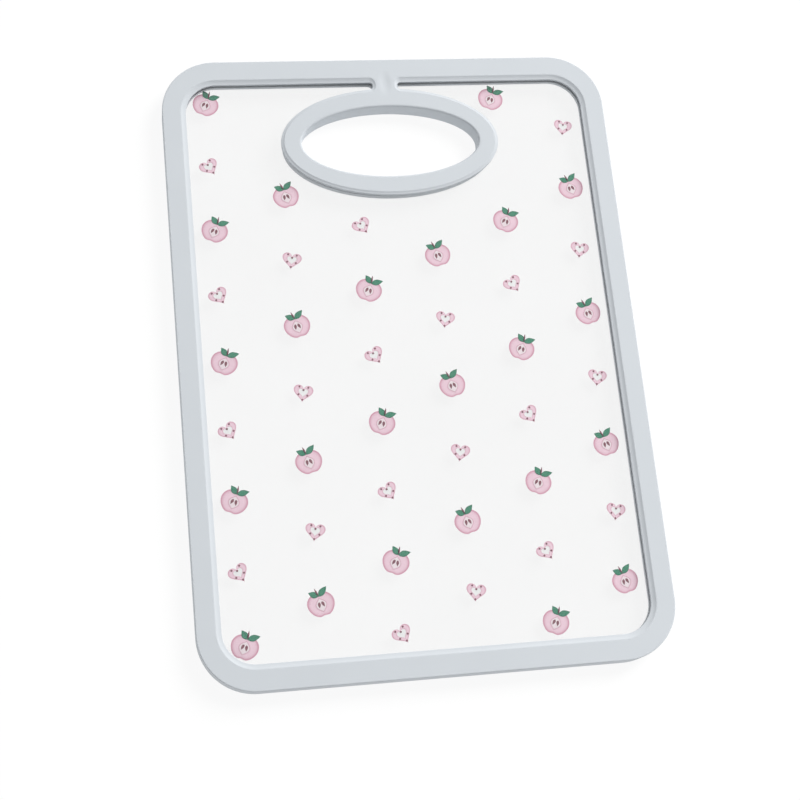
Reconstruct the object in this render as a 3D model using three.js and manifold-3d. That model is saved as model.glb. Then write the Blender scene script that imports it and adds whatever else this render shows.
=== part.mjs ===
// Glass cutting board with a moulded rim and an oval hand hole, in millimetres.
// It lies flat with its printed front face up (+Z) and its hand hole towards +Y.
// The origin is under the middle of the board, on the surface that it lies on.
import * as THREE from "three";
import { mergeVertices } from "three/addons/utils/BufferGeometryUtils.js";
import Module from "manifold-3d";

// Outline of the board
const boardWidth = 250;
const boardLength = 346;
const cornerRadius = 30;
const leastCornerRadius = 1;
const edgeRound = 0.8;

// Layers through the thickness, from the back to the front
const rearStand = 4.3; // rim's back face to the film
const filmThickness = 0.45;
const glassThickness = 4;
const frontStand = 2.1; // glass to the rim's front face

// Section of the rim: a flat face, a slope down from it, and a low ledge that ends over the glass
const rimFaceWidth = 10;
const slopeWidth = 1.8;
const slopeDepth = 0.9;
const ledgeWidth = 1.4;
const rearSetback = 1; // how far the rear lip stays behind the front one
const rimWall = 5; // plastic outside the edge of the glass

// Hand hole, and the moulded ring around it
const handHoleLength = 100;
const handHoleWidth = 42;
const ringFaceWidth = 9.4;
const ringWall = 5; // plastic between the hand hole and the glass
const slotGap = 4.6; // bare glass between the ring and the rim

// Neck that joins the ring to the rim
const neckFaceWidth = 10.4;
const slotEndRadius = 2;

// Clearances of the glass and the film in the moulding
const edgeGap = 0.3;
const faceGap = 0.05;

// Facets and the reach of cutting shapes past the faces that they cut
const arcDivisions = 8;
const roundSegments = 3;
const cutReach = 5;

// Heights
const filmBottom = rearStand + faceGap;
const filmTop = filmBottom + filmThickness;
const glassBottom = filmTop + faceGap;
const glassTop = glassBottom + glassThickness;
const pocketTop = glassTop + faceGap;
const boardThickness = pocketTop + frontStand;

// Insets from the board's outline, and growths from the hand hole's
const slopeFootInset = rimFaceWidth + slopeWidth;
const openingInset = slopeFootInset + ledgeWidth;
const ringFootGrowth = ringFaceWidth + slopeWidth;
const neckFootHalfWidth = neckFaceWidth / 2 + slopeWidth;
const ringCentreY =
  boardLength / 2 - openingInset - slotGap - ringFootGrowth - handHoleWidth / 2;

const wasm = await Module();
wasm.setup();

// The board's outline moved inwards, with its corners about the same centres.
function boardOutline(inset) {
  const x = boardWidth / 2 - inset;
  const y = boardLength / 2 - inset;
  const r = Math.max(cornerRadius - inset, leastCornerRadius);
  const shape = new THREE.Shape();
  shape.absarc(x - r, y - r, r, 0, Math.PI / 2);
  shape.absarc(r - x, y - r, r, Math.PI / 2, Math.PI);
  shape.absarc(r - x, r - y, r, Math.PI, Math.PI * 1.5);
  shape.absarc(x - r, r - y, r, Math.PI * 1.5, Math.PI * 2);
  shape.closePath();
  return shape;
}

// An arc of the hand hole's ellipse moved outwards, in quarters so that its facets stay short.
function addOval(path, growth, from, to) {
  const a = handHoleLength / 2 + growth;
  const b = handHoleWidth / 2 + growth;
  const quarters = 4;
  for (let i = 0; i < quarters; i++) {
    const start = THREE.MathUtils.lerp(from, to, i / quarters);
    const end = THREE.MathUtils.lerp(from, to, (i + 1) / quarters);
    path.absellipse(0, ringCentreY, a, b, start, end, to < from);
  }
}

function oval(growth) {
  const path = new THREE.Path();
  addOval(path, growth, 0, Math.PI * 2);
  path.closePath();
  return path;
}

// Where a round slot end touches the ring: the ring's angle there, and the centre of the round.
function slotEndOnRing(growth, radius, centreX) {
  const a = handHoleLength / 2 + growth;
  const b = handHoleWidth / 2 + growth;
  let low = 0;
  let high = Math.PI / 2;
  let angle;
  let point;
  let normal;
  for (let i = 0; i < 50; i++) {
    angle = (low + high) / 2;
    point = new THREE.Vector2(a * Math.cos(angle), b * Math.sin(angle));
    normal = new THREE.Vector2(Math.cos(angle) / a, Math.sin(angle) / b).normalize();
    if (point.x + radius * normal.x > centreX) low = angle;
    else high = angle;
  }
  const centreY = ringCentreY + point.y + radius * normal.y;
  return { angle, centreY, turn: Math.atan2(-normal.y, -normal.x) };
}

// The opening in the rim that shows the glass: it runs round the ring and ends at the neck's two sides.
// A setback makes it wider all round, also at the ring and the neck.
function openingOutline(rimInset, setback) {
  const inset = rimInset - setback;
  const x = boardWidth / 2 - inset;
  const y = boardLength / 2 - inset;
  const r = Math.max(cornerRadius - inset, leastCornerRadius);
  const ringGrowth = ringFootGrowth - setback;
  const ringTop = ringCentreY + handHoleWidth / 2 + ringGrowth;
  const endRadius = Math.min(slotEndRadius + setback, (y - ringTop) / 2);
  const endX = neckFootHalfWidth - setback + endRadius;
  const foot = slotEndOnRing(ringGrowth, endRadius, endX);
  const shape = new THREE.Shape();
  shape.absarc(r - x, y - r, r, Math.PI / 2, Math.PI);
  shape.absarc(r - x, r - y, r, Math.PI, Math.PI * 1.5);
  shape.absarc(x - r, r - y, r, Math.PI * 1.5, Math.PI * 2);
  shape.absarc(x - r, y - r, r, 0, Math.PI / 2);
  shape.absarc(endX, y - endRadius, endRadius, Math.PI / 2, Math.PI);
  shape.absarc(endX, foot.centreY, endRadius, Math.PI, foot.turn + Math.PI * 2);
  addOval(shape, ringGrowth, foot.angle, -Math.PI - foot.angle);
  shape.absarc(-endX, foot.centreY, endRadius, Math.PI - foot.turn, Math.PI * 2);
  shape.absarc(-endX, y - endRadius, endRadius, 0, Math.PI / 2);
  shape.closePath();
  return shape;
}

function solidOf(geometry) {
  geometry.deleteAttribute("normal");
  geometry.deleteAttribute("uv");
  const merged = mergeVertices(geometry, 1e-4);
  return new wasm.Manifold(
    new wasm.Mesh({
      numProp: 3,
      vertProperties: merged.attributes.position.array,
      triVerts: new Uint32Array(merged.index.array),
    }),
  );
}

function slab(shape, low, high) {
  const geometry = new THREE.ExtrudeGeometry(shape, {
    depth: high - low,
    bevelEnabled: false,
    curveSegments: arcDivisions,
  });
  return geometry.translate(0, 0, low);
}

// A slab whose two faces are the outline, and whose middle is wider by flare.
function flaredSlab(shape, low, high, faceDepth, flare) {
  const geometry = new THREE.ExtrudeGeometry(shape, {
    depth: high - low - 2 * faceDepth,
    bevelThickness: faceDepth,
    bevelSize: flare,
    bevelSegments: 1,
    curveSegments: arcDivisions,
  });
  return geometry.translate(0, 0, low + faceDepth);
}

// The glass and the film share this outline, and the pocket is the same with no gap.
function panelOutline(gap) {
  const shape = boardOutline(rimWall + gap);
  shape.holes.push(oval(ringWall + gap));
  return shape;
}

function mouldingSolid() {
  const outline = boardOutline(0);
  outline.holes.push(oval(0));
  const block = new THREE.ExtrudeGeometry(outline, {
    depth: boardThickness - 2 * edgeRound,
    bevelThickness: edgeRound,
    bevelSize: edgeRound,
    bevelOffset: -edgeRound,
    bevelSegments: roundSegments,
    curveSegments: arcDivisions,
  });
  block.translate(0, 0, edgeRound);
  const above = boardThickness + cutReach;
  const frontSlope = flaredSlab(
    openingOutline(slopeFootInset, 0),
    boardThickness - slopeDepth,
    above,
    slopeDepth,
    slopeWidth,
  );
  const rearSlope = flaredSlab(
    openingOutline(slopeFootInset, rearSetback),
    -cutReach,
    slopeDepth,
    slopeDepth,
    slopeWidth,
  );
  const frontOpening = slab(openingOutline(openingInset, 0), glassBottom, above);
  const rearOpening = slab(openingOutline(openingInset, rearSetback), -cutReach, glassBottom);
  const pocket = slab(panelOutline(0), rearStand, pocketTop);
  return solidOf(block)
    .subtract(solidOf(frontSlope))
    .subtract(solidOf(rearSlope))
    .subtract(solidOf(frontOpening))
    .subtract(solidOf(rearOpening))
    .subtract(solidOf(pocket));
}

function geometryOf(solid) {
  const { vertProperties, triVerts } = solid.getMesh();
  const geometry = new THREE.BufferGeometry();
  geometry.setAttribute("position", new THREE.BufferAttribute(vertProperties, 3));
  geometry.setIndex(new THREE.BufferAttribute(triVerts, 1));
  geometry.computeVertexNormals();
  return geometry;
}

const rimPlastic = new THREE.MeshStandardMaterial({
  color: 0xd8dde2,
  roughness: 0.45,
  metalness: 0,
});
const clearGlass = new THREE.MeshStandardMaterial({
  color: 0xeef7f4,
  roughness: 0.03,
  metalness: 0,
  transparent: true,
  opacity: 0.25,
});
const clearFilm = new THREE.MeshStandardMaterial({
  color: 0xf7f9f9,
  roughness: 0.15,
  metalness: 0,
  transparent: true,
  opacity: 0.2,
});

const board = new THREE.Group();

function addPiece(name, geometry, material) {
  const piece = new THREE.Mesh(geometry, material);
  piece.name = name;
  board.add(piece);
}

addPiece("rim_and_handle_moulding", geometryOf(mouldingSolid()), rimPlastic);
addPiece("glass_panel", slab(panelOutline(edgeGap), glassBottom, glassTop), clearGlass);
addPiece("printed_backing_film", slab(panelOutline(edgeGap), filmBottom, filmTop), clearFilm);

export default board;
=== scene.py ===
import math

import bmesh
import bpy
from mathutils import Matrix, Quaternion, Vector


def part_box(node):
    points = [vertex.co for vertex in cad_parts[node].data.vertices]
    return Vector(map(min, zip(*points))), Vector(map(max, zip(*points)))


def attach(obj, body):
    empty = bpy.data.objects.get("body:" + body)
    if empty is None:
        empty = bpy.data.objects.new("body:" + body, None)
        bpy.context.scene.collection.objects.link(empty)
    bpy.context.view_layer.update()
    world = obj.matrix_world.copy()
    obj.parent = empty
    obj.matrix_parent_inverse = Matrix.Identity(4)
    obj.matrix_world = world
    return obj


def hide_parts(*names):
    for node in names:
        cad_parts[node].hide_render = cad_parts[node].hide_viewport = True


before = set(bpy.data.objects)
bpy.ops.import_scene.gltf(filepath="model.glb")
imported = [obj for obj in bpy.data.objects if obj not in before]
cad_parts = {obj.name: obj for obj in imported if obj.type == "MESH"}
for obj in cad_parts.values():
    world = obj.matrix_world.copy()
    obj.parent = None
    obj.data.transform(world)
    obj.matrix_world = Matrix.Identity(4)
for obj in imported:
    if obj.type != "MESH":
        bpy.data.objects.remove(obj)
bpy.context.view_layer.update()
mm = 0.001
scene = bpy.context.scene
scene.view_settings.view_transform = "Standard"

boardLow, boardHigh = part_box("rim_and_handle_moulding")
glassLow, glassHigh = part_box("glass_panel")
filmLow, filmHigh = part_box("printed_backing_film")
print("frame loaded, board", [round(v / mm, 2) for v in boardHigh - boardLow], "mm")


# camera, at the angle and distance of the photograph
cameraSetup = {
    "place": Vector((-155.2, -248.8, 799.4)) * mm,
    "target": Vector((-10.1, -26.95, 11.0)) * mm,
    "roll": math.radians(28.71),
    "lens": 70.69,
    "sensor": 36.0,
    "clipStart": 0.01,
}


def makeCamera(c):
    data = bpy.data.cameras.new("photoCamera")
    data.lens = c["lens"]
    data.sensor_width = c["sensor"]
    data.clip_start = c["clipStart"]
    camera = bpy.data.objects.new("photoCamera", data)
    scene.collection.objects.link(camera)
    aim = (c["target"] - c["place"]).to_track_quat("-Z", "Y")
    turn = aim @ Quaternion((0, 0, 1), c["roll"])
    camera.matrix_world = Matrix.Translation(c["place"]) @ turn.to_matrix().to_4x4()
    scene.camera = camera


makeCamera(cameraSetup)
print("camera placed")


# outlines of the board, the hand hole and the opening that shows the glass
outline = {
    "cornerRadius": 30 * mm,
    "cornerSteps": 24,
    "holeLength": 100 * mm,
    "holeWidth": 42 * mm,
    "holeSteps": 160,
    "sideFace": 10 * mm,
    "endFace": 10.9 * mm,
    "rimSlope": 2.85 * mm,  # from the flat face to the edge of the lip
    "ringFace": 9.4 * mm,
    "ringSlope": 1.8 * mm,
    "neckFace": 10.4 * mm,
    "slotGap": 4.05 * mm,  # bare glass between the ring and the rim
    "slotEnd": 2 * mm,
    "slotSteps": 12,
}
sideInset = outline["sideFace"] + outline["rimSlope"]
endInset = outline["endFace"] + outline["rimSlope"]
ringFoot = outline["ringFace"] + outline["ringSlope"]
neckFoot = outline["neckFace"] / 2 + outline["ringSlope"]
holeY = boardHigh.y - endInset - outline["slotGap"] - ringFoot - outline["holeWidth"] / 2


def arc(centreX, centreY, radiusX, radiusY, start, end, steps):
    angles = [start + (end - start) * i / steps for i in range(steps + 1)]
    return [Vector((centreX + radiusX * math.cos(a), centreY + radiusY * math.sin(a))) for a in angles]


def cornerArcs(insetX, insetY, order):
    r = outline["cornerRadius"] - insetX
    x = boardHigh.x - insetX - r
    y = boardHigh.y - insetY - r
    centres = ((x, y), (-x, y), (-x, -y), (x, -y))
    points = []
    for k in order:
        start = k * math.pi / 2
        points += arc(*centres[k], r, r, start, start + math.pi / 2, outline["cornerSteps"])
    return points


def boardOutline(inset):
    return cornerArcs(inset, inset, (0, 1, 2, 3))


def ovalOutline(growth):
    a = outline["holeLength"] / 2 + growth
    b = outline["holeWidth"] / 2 + growth
    return arc(0, holeY, a, b, 0, math.tau, outline["holeSteps"])[:-1]


# where a round slot end touches the ring: angle on the ring, height of the round, turn of the round
def slotEndOnRing(a, b, radius, centreX, halvings=50):
    low, high = 0.0, math.pi / 2
    for _ in range(halvings):
        angle = (low + high) / 2
        point = Vector((a * math.cos(angle), b * math.sin(angle)))
        normal = Vector((math.cos(angle) / a, math.sin(angle) / b)).normalized()
        if point.x + radius * normal.x > centreX:
            low = angle
        else:
            high = angle
    return angle, holeY + point.y + radius * normal.y, math.atan2(-normal.y, -normal.x)


# the opening's edge, moved into the moulding by rimRun at the rim and by ringRun at the ring and the neck
def openingOutline(rimRun, ringRun):
    a = outline["holeLength"] / 2 + ringFoot - ringRun
    b = outline["holeWidth"] / 2 + ringFoot - ringRun
    endX = neckFoot + outline["slotEnd"]
    endY = boardHigh.y - endInset - outline["slotEnd"]
    ringRadius = outline["slotEnd"] + ringRun
    angle, footY, turn = slotEndOnRing(a, b, ringRadius, endX)
    steps = outline["slotSteps"]
    rightEnd = arc(endX, endY, ringRadius, outline["slotEnd"] + rimRun, math.pi / 2, math.pi, steps)
    rightEnd += arc(endX, footY, ringRadius, ringRadius, math.pi, turn + math.tau, steps)
    leftEnd = [Vector((-p.x, p.y)) for p in reversed(rightEnd)]
    ring = arc(0, holeY, a, b, angle, -math.pi - angle, outline["holeSteps"])[1:-1]
    return cornerArcs(sideInset - rimRun, endInset - rimRun, (1, 2, 3, 0)) + rightEnd + ring + leftEnd


# for each point of openingOutline: 0 on the rim, 1 on the ring and the neck,
# and between the two at the slot's corners
def ringShares():
    steps = outline["slotSteps"]
    corner = [i / steps for i in range(steps + 1)] + [1] * (steps + 1)
    rim = [0] * 4 * (outline["cornerSteps"] + 1)
    return rim + corner + [1] * (outline["holeSteps"] - 1) + corner[::-1]


def addLoop(bm, points, heights):
    if not isinstance(heights, list):
        heights = [heights] * len(points)
    verts = [bm.verts.new((p.x, p.y, z)) for p, z in zip(points, heights)]
    return [bm.edges.new((verts[i - 1], verts[i])) for i in range(len(verts))]


def bridgeAll(bm, loops):
    for first, second in zip(loops, loops[1:]):
        bmesh.ops.bridge_loops(bm, edges=first + second)


def fillFlat(bm, *loops):
    edges = [edge for loop in loops for edge in loop]
    bmesh.ops.triangle_fill(bm, use_beauty=True, use_dissolve=False, edges=edges)


# carries a loop on towards a middle, with new faces between: returns the smaller loop and its points
def shrinkLoop(bm, loop, share, toMiddle):
    grown = bmesh.ops.extrude_edge_only(bm, edges=loop)["geom"]
    verts = {g for g in grown if isinstance(g, bmesh.types.BMVert)}
    edges = [g for g in grown if isinstance(g, bmesh.types.BMEdge) and verts.issuperset(g.verts)]
    bmesh.ops.scale(bm, verts=list(verts), vec=(share, share, 1), space=toMiddle)
    return edges, verts


def finishPiece(bm, name, material, node=None, sharpAngle=math.radians(35)):
    openEdges = sum(1 for e in bm.edges if len(e.link_faces) != 2)
    mesh = bpy.data.meshes.new(name)
    bm.to_mesh(mesh)
    bm.free()
    mesh.shade_smooth()
    mesh.set_sharp_from_angle(angle=sharpAngle)
    mesh.materials.append(material)
    piece = bpy.data.objects.new(name, mesh)
    scene.collection.objects.link(piece)
    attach(piece, "root")
    if node:
        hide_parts(node)
    print(name, len(mesh.polygons), "faces,", openEdges, "open edges")


# shared effect: slow drift between two tones, drift of roughness, and a fine grain for bump
mottleDetail = {
    "blotch": 4,
    "grain": 3,
}


def makeMottle(d):
    group = bpy.data.node_groups.new("mottle", "ShaderNodeTree")
    for name, kind in (
        ("Pale", "NodeSocketColor"),
        ("Deep", "NodeSocketColor"),
        ("Blotch", "NodeSocketFloat"),
        ("Grain", "NodeSocketFloat"),
        ("Smoothest", "NodeSocketFloat"),
        ("Roughest", "NodeSocketFloat"),
    ):
        group.interface.new_socket(name, in_out="INPUT", socket_type=kind)
    for name, kind in (
        ("Color", "NodeSocketColor"),
        ("Roughness", "NodeSocketFloat"),
        ("Height", "NodeSocketFloat"),
    ):
        group.interface.new_socket(name, in_out="OUTPUT", socket_type=kind)
    nodes, links = group.nodes, group.links
    given = nodes.new("NodeGroupInput")
    out = nodes.new("NodeGroupOutput")
    place = nodes.new("ShaderNodeTexCoord")
    blotch = nodes.new("ShaderNodeTexNoise")
    blotch.inputs["Detail"].default_value = d["blotch"]
    grain = nodes.new("ShaderNodeTexNoise")
    grain.inputs["Detail"].default_value = d["grain"]
    tone = nodes.new("ShaderNodeMix")
    tone.data_type = "RGBA"
    rough = nodes.new("ShaderNodeMapRange")
    links.new(place.outputs["Object"], blotch.inputs["Vector"])
    links.new(place.outputs["Object"], grain.inputs["Vector"])
    links.new(given.outputs["Blotch"], blotch.inputs["Scale"])
    links.new(given.outputs["Grain"], grain.inputs["Scale"])
    links.new(blotch.outputs["Fac"], tone.inputs["Factor"])
    links.new(given.outputs["Pale"], tone.inputs["A"])
    links.new(given.outputs["Deep"], tone.inputs["B"])
    links.new(grain.outputs["Fac"], rough.inputs["Value"])
    links.new(given.outputs["Smoothest"], rough.inputs["To Min"])
    links.new(given.outputs["Roughest"], rough.inputs["To Max"])
    links.new(tone.outputs["Result"], out.inputs["Color"])
    links.new(rough.outputs["Result"], out.inputs["Roughness"])
    links.new(grain.outputs["Fac"], out.inputs["Height"])
    return group


mottle = makeMottle(mottleDetail)


def addMottle(nodes, m):
    effect = nodes.new("ShaderNodeGroup")
    effect.node_tree = mottle
    effect.inputs["Pale"].default_value = (*m["pale"], 1)
    effect.inputs["Deep"].default_value = (*m["deep"], 1)
    effect.inputs["Blotch"].default_value = m["blotch"]
    effect.inputs["Grain"].default_value = m["grain"]
    effect.inputs["Smoothest"].default_value = m["roughness"][0]
    effect.inputs["Roughest"].default_value = m["roughness"][1]
    return effect


# rim, neck and ring: one moulding that holds the glass in a groove
moulding = {
    "outerRound": 0.5 * mm,
    "holeRound": 1.2 * mm,
    "roundSteps": 6,
    "topEase": 0.3 * mm,  # where the face turns into the slope
    "slopeSteps": 12,
    # how far each lip stays behind the front one, and the slope's fall at its top and at the lip
    "front": {
        "rimSetback": 0,
        "ringSetback": 0,
        "rimFall": (0.7, 0.2),
        "ringFall": (0.7, 0.2),
    },
    "rear": {
        "rimSetback": 0.4 * mm,
        "ringSetback": 1.1 * mm,
        "rimFall": (1.3, 0.6),
        "ringFall": (0.7, 0.2),
    },
    "lipRound": 0.3 * mm,
    "lipSteps": 4,
    "flatMargin": 0.4 * mm,  # flat strip that keeps the shading of the face even
    "rimWall": 5 * mm,
    "ringWall": 5 * mm,
    "seatGap": 0.01 * mm,
    "plastic": {
        "pale": (0.655, 0.69, 0.725),
        "deep": (0.625, 0.66, 0.695),
        "blotch": 45,
        "grain": 1800,
        "roughness": (0.52, 0.66),
    },
    "specular": 0.2,
    "bump": 0.12,
    "bumpDepth": 0.05 * mm,
    "sink": {  # shallow dip in the face of the neck
        "centre": Vector((0, 158.5)) * mm,
        "radii": Vector((4.6, 9)) * mm,
        "depth": 0.36 * mm,
        "steps": 48,
        "rings": 12,
        "widest": 0.95,  # share of the radii where the dip starts
        "smallest": 0.2,  # and where its flat floor starts
    },
}


# stations from the flat face to the wall over the glass: distance to the lip's edge, and drop
def lipProfile(m, width, fall):
    steepest, gentlest = fall
    length = width - m["lipRound"]
    stations = [(width + m["flatMargin"], 0)]
    drop = 0
    steps = m["slopeSteps"]
    for i in range(steps + 1):
        s = length * i / steps
        stations.append((width - s, drop))
        middle = s + length / steps / 2
        slant = steepest + (gentlest - steepest) * middle / length
        drop += slant * min(1, middle / m["topEase"]) * length / steps
    drop = stations[-1][1]
    start = math.atan(gentlest)
    for i in range(1, m["lipSteps"] + 1):
        turn = start + (math.pi / 2 - start) * i / m["lipSteps"]
        run = m["lipRound"] * (1 - math.sin(turn))
        stations.append((run, drop + m["lipRound"] * (math.cos(start) - math.cos(turn))))
    return stations


# stations of a rounded edge, from the flat face to the wall: inset, and drop
def edgeProfile(m, r):
    stations = [(r + m["flatMargin"], 0)]
    for i in range(m["roundSteps"] + 1):
        turn = math.pi / 2 * i / m["roundSteps"]
        stations.append((r * (1 - math.sin(turn)), r * (1 - math.cos(turn))))
    return stations


# a smooth dip in the face: returns the loop where the flat face meets it
def addSink(bm, sink, faceZ):
    centre, radii = sink["centre"], sink["radii"]
    edge = loop = addLoop(bm, arc(*centre, *radii, 0, math.tau, sink["steps"])[:-1], faceZ)
    toMiddle = Matrix.Translation((-centre.x, -centre.y, 0))
    before = 1
    for i in range(sink["rings"] + 1):
        reach = sink["widest"] + (sink["smallest"] - sink["widest"]) * i / sink["rings"]
        loop, verts = shrinkLoop(bm, loop, reach / before, toMiddle)
        for vert in verts:
            vert.co.z = faceZ - sink["depth"] * (1 + math.cos(math.pi * reach / sink["widest"])) / 2
        before = reach
    fillFlat(bm, loop)
    return edge


# one side of the moulding, face and lip: returns the loops that the other side joins on to
def mouldingSide(bm, m, faceZ, seatZ, up, side, sinks):
    outer = edgeProfile(m, m["outerRound"])
    inner = edgeProfile(m, m["holeRound"])
    wall = [addLoop(bm, boardOutline(inset), faceZ - up * drop) for inset, drop in outer]
    hole = [addLoop(bm, ovalOutline(inset), faceZ - up * drop) for inset, drop in inner]
    shares = ringShares()
    lip = []
    rim = lipProfile(m, outline["rimSlope"], side["rimFall"])
    ring = lipProfile(m, outline["ringSlope"], side["ringFall"])
    for atRim, atRing in zip(rim, ring):
        points = openingOutline(atRim[0] + side["rimSetback"], atRing[0] + side["ringSetback"])
        heights = [faceZ - up * (atRim[1] + (atRing[1] - atRim[1]) * share) for share in shares]
        lip.append(addLoop(bm, points, heights))
    lip.append(addLoop(bm, openingOutline(side["rimSetback"], side["ringSetback"]), seatZ))
    pocket = addLoop(bm, boardOutline(m["rimWall"]), seatZ)
    core = addLoop(bm, ovalOutline(m["ringWall"]), seatZ)
    for loops in (wall, hole, lip):
        fillFlat(bm, loops[0], loops[1])
        bridgeAll(bm, loops[1:])
    dips = [addSink(bm, sink, faceZ) for sink in sinks]
    fillFlat(bm, wall[0], hole[0], lip[0], *dips)
    fillFlat(bm, pocket, core, lip[-1])
    return wall[-1], hole[-1], pocket, core


def plasticMaterial(m):
    material = bpy.data.materials.new("satinRimPlastic")
    material.use_nodes = True
    nodes, links = material.node_tree.nodes, material.node_tree.links
    shader = nodes["Principled BSDF"]
    shader.inputs["Specular IOR Level"].default_value = m["specular"]
    effect = addMottle(nodes, m["plastic"])
    bump = nodes.new("ShaderNodeBump")
    bump.inputs["Strength"].default_value = m["bump"]
    bump.inputs["Distance"].default_value = m["bumpDepth"]
    links.new(effect.outputs["Color"], shader.inputs["Base Color"])
    links.new(effect.outputs["Roughness"], shader.inputs["Roughness"])
    links.new(effect.outputs["Height"], bump.inputs["Height"])
    links.new(bump.outputs["Normal"], shader.inputs["Normal"])
    return material


def makeMoulding(m):
    bm = bmesh.new()
    front = mouldingSide(bm, m, boardHigh.z, glassHigh.z + m["seatGap"], 1, m["front"], [m["sink"]])
    back = mouldingSide(bm, m, boardLow.z, filmLow.z - m["seatGap"], -1, m["rear"], [])
    for frontLoop, backLoop in zip(front, back):
        bridgeAll(bm, [frontLoop, backLoop])
    bmesh.ops.recalc_face_normals(bm, faces=bm.faces)
    finishPiece(bm, "rimMoulding", plasticMaterial(m), "rim_and_handle_moulding")


makeMoulding(moulding)


# a flat sheet that follows the board's outline, with the oval cut out and its edges broken
def sheetMesh(inset, growth, low, high, arris):
    bm = bmesh.new()
    stations = ((arris, low), (0, low + arris), (0, high - arris), (arris, high))
    outer = [addLoop(bm, boardOutline(inset + a), z) for a, z in stations]
    inner = [addLoop(bm, ovalOutline(growth + a), z) for a, z in stations]
    bridgeAll(bm, outer)
    bridgeAll(bm, inner)
    fillFlat(bm, outer[0], inner[0])
    fillFlat(bm, outer[-1], inner[-1])
    bmesh.ops.recalc_face_normals(bm, faces=bm.faces)
    if bm.calc_volume(signed=True) < 0:
        bmesh.ops.reverse_faces(bm, faces=bm.faces)
    return bm


# clear sheets: light passes straight through to what is behind, with a little haze on the surface
def clearMaterial(name, c):
    material = bpy.data.materials.new(name)
    material.use_nodes = True
    nodes, links = material.node_tree.nodes, material.node_tree.links
    shader = nodes["Principled BSDF"]
    shader.inputs["Transmission Weight"].default_value = 1
    shader.inputs["IOR"].default_value = c["ior"]
    effect = addMottle(nodes, c["haze"])
    links.new(effect.outputs["Color"], shader.inputs["Base Color"])
    links.new(effect.outputs["Roughness"], shader.inputs["Roughness"])
    clear = nodes.new("ShaderNodeBsdfTransparent")
    clear.inputs["Color"].default_value = (*c["shadowTint"], 1)
    path = nodes.new("ShaderNodeLightPath")
    either = nodes.new("ShaderNodeMath")
    either.operation = "MAXIMUM"
    links.new(path.outputs["Is Shadow Ray"], either.inputs[0])
    links.new(path.outputs["Is Diffuse Ray"], either.inputs[1])
    mix = nodes.new("ShaderNodeMixShader")
    links.new(either.outputs[0], mix.inputs["Fac"])
    links.new(shader.outputs[0], mix.inputs[1])
    links.new(clear.outputs[0], mix.inputs[2])
    links.new(mix.outputs[0], nodes["Material Output"].inputs["Surface"])
    return material


# toughened glass
glass = {
    "arris": 0.5 * mm,
    "edgeGap": 0.3 * mm,
    "ior": 1.52,
    "shadowTint": (0.96, 0.965, 0.965),
    "haze": {
        "pale": (0.935, 0.937, 0.937),
        "deep": (0.91, 0.912, 0.912),
        "blotch": 12,
        "grain": 40,
        "roughness": (0.0, 0.03),
    },
}


def makeGlass(g):
    inset = boardHigh.x - glassHigh.x
    bm = sheetMesh(inset, moulding["ringWall"] + g["edgeGap"], glassLow.z, glassHigh.z, g["arris"])
    finishPiece(bm, "glassSheet", clearMaterial("clearGlass", g), "glass_panel")


makeGlass(glass)


# clear film behind the glass, bonded to it, so that it hardly bends the light
film = {
    "edge": 0.03 * mm,
    "printRoom": 0.25 * mm,  # kept free below the glass for the inks
    "ior": 1.04,
    "shadowTint": (0.99, 0.99, 0.99),
    "haze": {
        "pale": (0.99, 0.99, 0.99),
        "deep": (0.98, 0.98, 0.98),
        "blotch": 20,
        "grain": 60,
        "roughness": (0.05, 0.12),
    },
}


def makeFilm(f):
    inset = boardHigh.x - filmHigh.x
    growth = moulding["ringWall"] + glass["edgeGap"]
    bm = sheetMesh(inset, growth, filmLow.z, filmHigh.z - f["printRoom"], f["edge"])
    finishPiece(bm, "backingFilm", clearMaterial("clearFilm", f), "printed_backing_film")


makeFilm(film)


# the print: apple halves and open hearts in a half-drop repeat, in layers of ink on the film
printed = {
    "columns": 6,
    "rows": 9,
    "columnStep": 40.4 * mm,
    "rowStep": 37.4 * mm,
    "firstRow": -150 * mm,
    "drop": 0.5,  # share of a row step by which every other column is moved
    "tilts": (-24, 16, 30, -12),  # degrees, taken in turn
    "clearOfHole": 9 * mm,
    "clearOfEdge": 13 * mm,
    "inkThickness": 0.03 * mm,
    "layerStep": 0.06 * mm,
    "firstLayer": 0.4,  # in layer steps above the film
    "inks": {
        "pinkInk": {"middle": (0.945, 0.665, 0.77), "edge": (0.68, 0.29, 0.41), "layer": 1},
        "whiteInk": {"middle": (1.0, 1.0, 1.0), "edge": (0.97, 0.95, 0.96), "layer": 0},
        "coreInk": {"middle": (0.96, 0.82, 0.86), "edge": (0.72, 0.38, 0.49), "layer": 2},
        "seedInk": {"middle": (0.22, 0.06, 0.09), "edge": (0.19, 0.045, 0.07), "layer": 3},
        "leafInk": {"middle": (0.012, 0.22, 0.122), "edge": (0.007, 0.125, 0.066), "layer": 3},
    },
    "toneSpread": 0.07,  # how far the ink's tone drifts up and down
    "inkBlotch": 320,
    "inkGrain": 2500,
    "inkRoughness": (0.4, 0.55),
}


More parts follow.
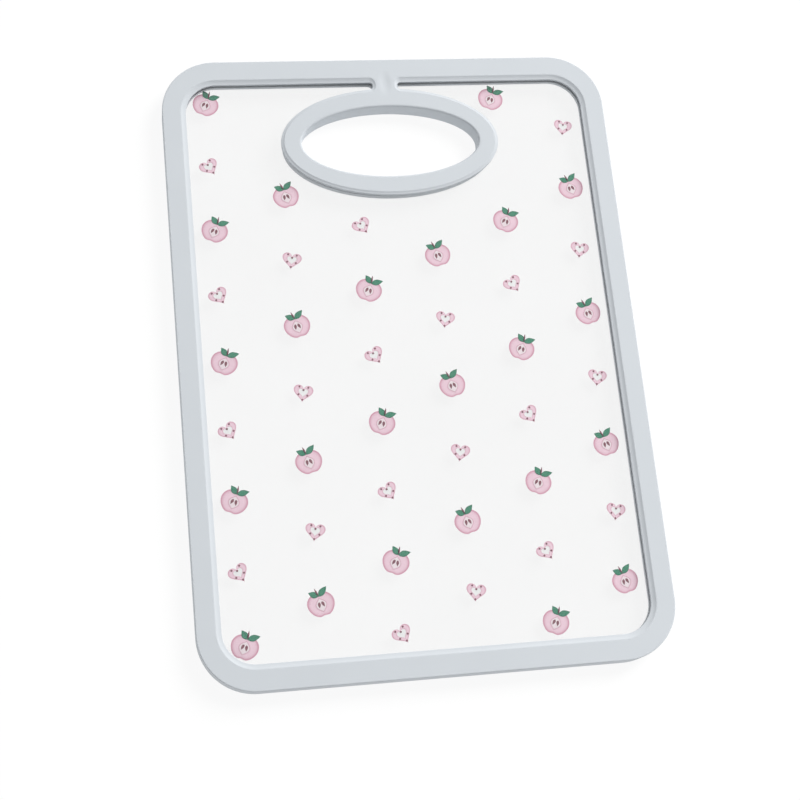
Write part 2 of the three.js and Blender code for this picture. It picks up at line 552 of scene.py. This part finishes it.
def inkMaterial(name, ink, p):
    material = bpy.data.materials.new(name)
    material.use_nodes = True
    nodes, links = material.node_tree.nodes, material.node_tree.links
    shader = nodes["Principled BSDF"]
    tones = {
        "pale": [min(1, v * (1 + p["toneSpread"])) for v in ink["middle"]],
        "deep": [v * (1 - p["toneSpread"]) for v in ink["middle"]],
        "blotch": p["inkBlotch"],
        "grain": p["inkGrain"],
        "roughness": p["inkRoughness"],
    }
    effect = addMottle(nodes, tones)
    rim = nodes.new("ShaderNodeAttribute")
    rim.attribute_name = "rimShade"
    tone = nodes.new("ShaderNodeMix")
    tone.data_type = "RGBA"
    tone.inputs["B"].default_value = (*ink["edge"], 1)
    links.new(rim.outputs["Fac"], tone.inputs["Factor"])
    links.new(effect.outputs["Color"], tone.inputs["A"])
    links.new(tone.outputs["Result"], shader.inputs["Base Color"])
    links.new(effect.outputs["Roughness"], shader.inputs["Roughness"])
    return material


# a leaf, core, seed or stem: pointed at its ends, from the origin along +Y
def leafOutline(length, width, point, steps=14):
    side = []
    for i in range(steps + 1):
        s = i / steps
        side.append(Vector((width / 2 * math.sin(math.pi * s ** point), length * s)))
    return side + [Vector((-p.x, p.y)) for p in side[-2:0:-1]]


def placed(points, size, turn, centre):
    c, s = math.cos(turn), math.sin(turn)
    return [centre + size * Vector((c * p.x - s * p.y, s * p.x + c * p.y)) for p in points]


# a flat patch of ink, in millimetres while it is built: the rim shade falls from the edge inwards
def addInk(bm, points, z, rings):
    shade = bm.verts.layers.float["rimShade"]
    middle = sum(points, Vector((0, 0))) / len(points) / mm
    toMiddle = Matrix.Translation((-middle.x, -middle.y, 0))
    loop = addLoop(bm, [p / mm for p in points], z / mm)
    verts = {vert for edge in loop for vert in edge.verts}
    before = 1
    for scale, value in rings:
        if scale < before:
            loop, verts = shrinkLoop(bm, loop, scale / before, toMiddle)
        for vert in verts:
            vert[shade] = value
        before = scale
    return loop


def addPatch(bm, points, z, rings=((1, 1), (0.93, 0.85), (0.84, 0.25), (0.7, 0))):
    fillFlat(bm, addInk(bm, points, z, rings))


# seeds, stems and dots, which repeat most, have few faces
def addSpeck(bm, points, z):
    addPatch(bm, points, z, rings=((1, 1), (0.7, 0)))


# half an apple, in shares of half its width
apple = {
    "size": 7.1 * mm,
    "steps": 56,
    "height": 0.93,
    "shoulder": 0.09,  # how much wider it is above its middle
    "dimpleWidth": 0.27,
    "topDimple": 0.26,
    "footDimple": 0.12,
    "core": (1.08, 0.86, 1),  # length, width, and the power that moves the widest place
    "coreFoot": 0.58,
    "seed": (0.44, 0.2, 0.72, 7),  # the same, and the steps along it
    "seedTop": (0.1, 0.2),
    "seedLean": 0.22,
    "stem": (0.66, 0.15, 0.8, 7),
    "stemFoot": 0.6,
    "stemLean": 0.14,
    "leaves": ((-1.0, (0.95, 0.46, 0.85)), (0.9, (0.78, 0.46, 0.85))),  # lean of each, and its shape
}


def appleOutline(a):
    points = []
    for i in range(a["steps"]):
        t = math.tau * i / a["steps"]
        x = math.sin(t) * (1 + a["shoulder"] * math.cos(t))
        y = a["height"] * math.cos(t)
        dimple = math.exp(-((x / a["dimpleWidth"]) ** 2))
        points.append(Vector((x, y - a["topDimple"] * dimple if y > 0 else y + a["footDimple"] * dimple)))
    return points


def addApple(meshes, heights, a, centre, turn):
    size = a["size"]
    addPatch(meshes["pinkInk"], placed(appleOutline(a), size, turn, centre), heights["pinkInk"])
    up = Vector((-math.sin(turn), math.cos(turn)))
    side = Vector((math.cos(turn), math.sin(turn)))
    core = placed(leafOutline(*a["core"]), size, turn, centre - size * up * a["coreFoot"])
    addPatch(meshes["coreInk"], core, heights["coreInk"])
    aside, above = a["seedTop"]
    for sign in (-1, 1):
        top = centre + size * (side * aside * sign + up * above)
        seed = placed(leafOutline(*a["seed"]), size, turn + math.pi + a["seedLean"] * sign, top)
        addSpeck(meshes["seedInk"], seed, heights["seedInk"])
    stalk = centre + size * up * a["stemFoot"]
    stem = placed(leafOutline(*a["stem"]), size, turn + a["stemLean"], stalk)
    addSpeck(meshes["seedInk"], stem, heights["seedInk"])
    for lean, shape in a["leaves"]:
        leaf = placed(leafOutline(*shape), size, turn + lean, stalk)
        addPatch(meshes["leafInk"], leaf, heights["leafInk"])


# an open heart with dots, in shares of half its width
heart = {
    "size": 5.2 * mm,
    "steps": 56,
    "lift": 0.12,
    "window": 0.5,
    "windowShade": 0.6,
    "overlap": 0.12,  # of the pink over the white in the window
    "rimRings": ((1, 1), (0.92, 0.5), (0.82, 0)),  # size and shade
    "dots": (0, 9, 19, 28, 37, 47),  # places along the outline
    "dotRadius": 0.53 * mm,
    "dotSteps": 12,
}


# the usual heart curve, scaled to a half width of 1
def heartOutline(h):
    points = []
    for i in range(h["steps"]):
        t = math.tau * i / h["steps"]
        x = math.sin(t) ** 3
        y = (13 * math.cos(t) - 5 * math.cos(2 * t) - 2 * math.cos(3 * t) - math.cos(4 * t)) / 16
        points.append(Vector((x, y + h["lift"])))
    return points


def addHeart(meshes, heights, h, centre, turn):
    shape = placed(heartOutline(h), h["size"], turn, centre)
    backing = h["window"] + h["overlap"]
    white = placed(heartOutline(h), h["size"] * backing, turn, centre)
    addPatch(meshes["whiteInk"], white, heights["whiteInk"])
    rings = (*h["rimRings"], (backing, 0), (h["window"], h["windowShade"]))
    addInk(meshes["pinkInk"], shape, heights["pinkInk"], rings)
    middle = sum(shape, Vector((0, 0))) / len(shape)
    for i in h["dots"]:
        spot = middle + (shape[i] - middle) * (1 + h["window"]) / 2
        dot = arc(*spot, h["dotRadius"], h["dotRadius"], 0, math.tau, h["dotSteps"])[:-1]
        addSpeck(meshes["seedInk"], dot, heights["seedInk"])


def onFilm(p, centre):
    a = outline["holeLength"] / 2 + moulding["ringWall"] + p["clearOfHole"]
    b = outline["holeWidth"] / 2 + moulding["ringWall"] + p["clearOfHole"]
    outside = (centre.x / a) ** 2 + ((centre.y - holeY) / b) ** 2 > 1
    inside = abs(centre.x) < filmHigh.x - p["clearOfEdge"] and abs(centre.y) < filmHigh.y - p["clearOfEdge"]
    return outside and inside


def makePrint(p):
    meshes, heights = {}, {}
    for name, ink in p["inks"].items():
        meshes[name] = bmesh.new()
        meshes[name].verts.layers.float.new("rimShade")
        heights[name] = filmHigh.z - film["printRoom"] + p["layerStep"] * (ink["layer"] + p["firstLayer"])
    apples = hearts = 0
    for i in range(p["columns"]):
        for j in range(p["rows"]):
            x = (i - (p["columns"] - 1) / 2) * p["columnStep"]
            y = p["firstRow"] + (j + p["drop"] * (i % 2)) * p["rowStep"]
            centre = Vector((x, y))
            if not onFilm(p, centre):
                continue
            turn = math.radians(p["tilts"][(i + 2 * j) % len(p["tilts"])])
            if (i // 2 + j) % 2:
                addHeart(meshes, heights, heart, centre, turn)
                hearts += 1
            else:
                addApple(meshes, heights, apple, centre, turn)
                apples += 1
    print("print laid out:", apples, "apples,", hearts, "hearts")
    for name, bm in meshes.items():
        grown = bmesh.ops.extrude_face_region(bm, geom=bm.faces[:])
        tops = [g for g in grown["geom"] if isinstance(g, bmesh.types.BMVert)]
        spare = 5  # normals are found while the patch is thick
        bmesh.ops.translate(bm, verts=tops, vec=(0, 0, spare))
        bmesh.ops.recalc_face_normals(bm, faces=bm.faces)
        bmesh.ops.translate(bm, verts=tops, vec=(0, 0, p["inkThickness"] / mm - spare))
        bmesh.ops.scale(bm, verts=bm.verts, vec=(mm, mm, mm))
        finishPiece(bm, name, inkMaterial(name, p["inks"][name], p))


makePrint(printed)


# floor, world and lamp
stage = {
    "floorSize": 30.0,
    "floorTone": 0.13,
    "floorGlow": 0.885,
    "underGlassTone": 0.07,  # the floor seen through the glass
    "underGlassGlow": 0.945,
    "bounceTone": 0.5,
    "bounceGlow": 0.5,  # lifts walls that look down at the floor
    "worldLight": (0.97, 0.985, 1.0),
    "worldStrength": 0.43,
    "keyFrom": Vector((2.5, 1.75, 2.4)),
    "keyAim": Vector((1.5, -4.0, 0)),  # past the board, so that its two ends are lit alike
    "keySize": 2.2,
    "keyPower": 199,
    "keyTint": (1.0, 0.99, 0.975),
}


# 1 for the rays that show the background, from the camera or by way of gloss and glass
def seenRays(nodes, links):
    path = nodes.new("ShaderNodeLightPath")
    total = path.outputs["Is Camera Ray"]
    for name in ("Is Glossy Ray", "Is Transmission Ray"):
        either = nodes.new("ShaderNodeMath")
        either.operation = "MAXIMUM"
        links.new(total, either.inputs[0])
        links.new(path.outputs[name], either.inputs[1])
        total = either.outputs[0]
    return total


def glowingPaint(nodes, links, tone, glow):
    paint = nodes.new("ShaderNodeBsdfDiffuse")
    paint.inputs["Color"].default_value = (tone, tone, tone, 1)
    light = nodes.new("ShaderNodeEmission")
    light.inputs["Strength"].default_value = glow
    both = nodes.new("ShaderNodeAddShader")
    links.new(paint.outputs[0], both.inputs[0])
    links.new(light.outputs[0], both.inputs[1])
    return both.outputs[0]


def mixShaders(nodes, links, share, first, second):
    mix = nodes.new("ShaderNodeMixShader")
    links.new(share, mix.inputs["Fac"])
    links.new(first, mix.inputs[1])
    links.new(second, mix.inputs[2])
    return mix.outputs[0]


def floorMaterial(s):
    material = bpy.data.materials.new("paleFloor")
    material.use_nodes = True
    nodes, links = material.node_tree.nodes, material.node_tree.links
    nodes.remove(nodes["Principled BSDF"])
    path = nodes.new("ShaderNodeLightPath")
    bare = glowingPaint(nodes, links, s["floorTone"], s["floorGlow"])
    underGlass = glowingPaint(nodes, links, s["underGlassTone"], s["underGlassGlow"])
    bounce = glowingPaint(nodes, links, s["bounceTone"], s["bounceGlow"])
    seen = mixShaders(nodes, links, path.outputs["Is Transmission Ray"], bare, underGlass)
    surface = mixShaders(nodes, links, seenRays(nodes, links), bounce, seen)
    links.new(surface, nodes["Material Output"].inputs["Surface"])
    return material


def makeStage(s):
    bm = bmesh.new()
    bmesh.ops.create_grid(bm, x_segments=1, y_segments=1, size=s["floorSize"])
    mesh = bpy.data.meshes.new("floor")
    bm.to_mesh(mesh)
    bm.free()
    mesh.materials.append(floorMaterial(s))
    floor = bpy.data.objects.new("floor", mesh)
    scene.collection.objects.link(floor)

    world = bpy.data.worlds.new("studio")
    world.use_nodes = True
    scene.world = world
    nodes, links = world.node_tree.nodes, world.node_tree.links
    light = nodes["Background"]
    light.inputs["Color"].default_value = (*s["worldLight"], 1)
    light.inputs["Strength"].default_value = s["worldStrength"]
    white = nodes.new("ShaderNodeBackground")
    white.inputs["Color"].default_value = (1, 1, 1, 1)
    backdrop = mixShaders(nodes, links, seenRays(nodes, links), light.outputs[0], white.outputs[0])
    links.new(backdrop, nodes["World Output"].inputs["Surface"])

    lamp = bpy.data.lights.new("softKey", "AREA")
    lamp.size = s["keySize"]
    lamp.energy = s["keyPower"]
    lamp.color = s["keyTint"]
    key = bpy.data.objects.new("softKey", lamp)
    key.visible_glossy = False  # no hard mirror image of the lamp on the glass or in it
    key.visible_transmission = False
    scene.collection.objects.link(key)
    turn = (s["keyAim"] - s["keyFrom"]).to_track_quat("-Z", "Y").to_matrix().to_4x4()
    key.matrix_world = Matrix.Translation(s["keyFrom"]) @ turn


makeStage(stage)
print("floor, world and lamp ready")
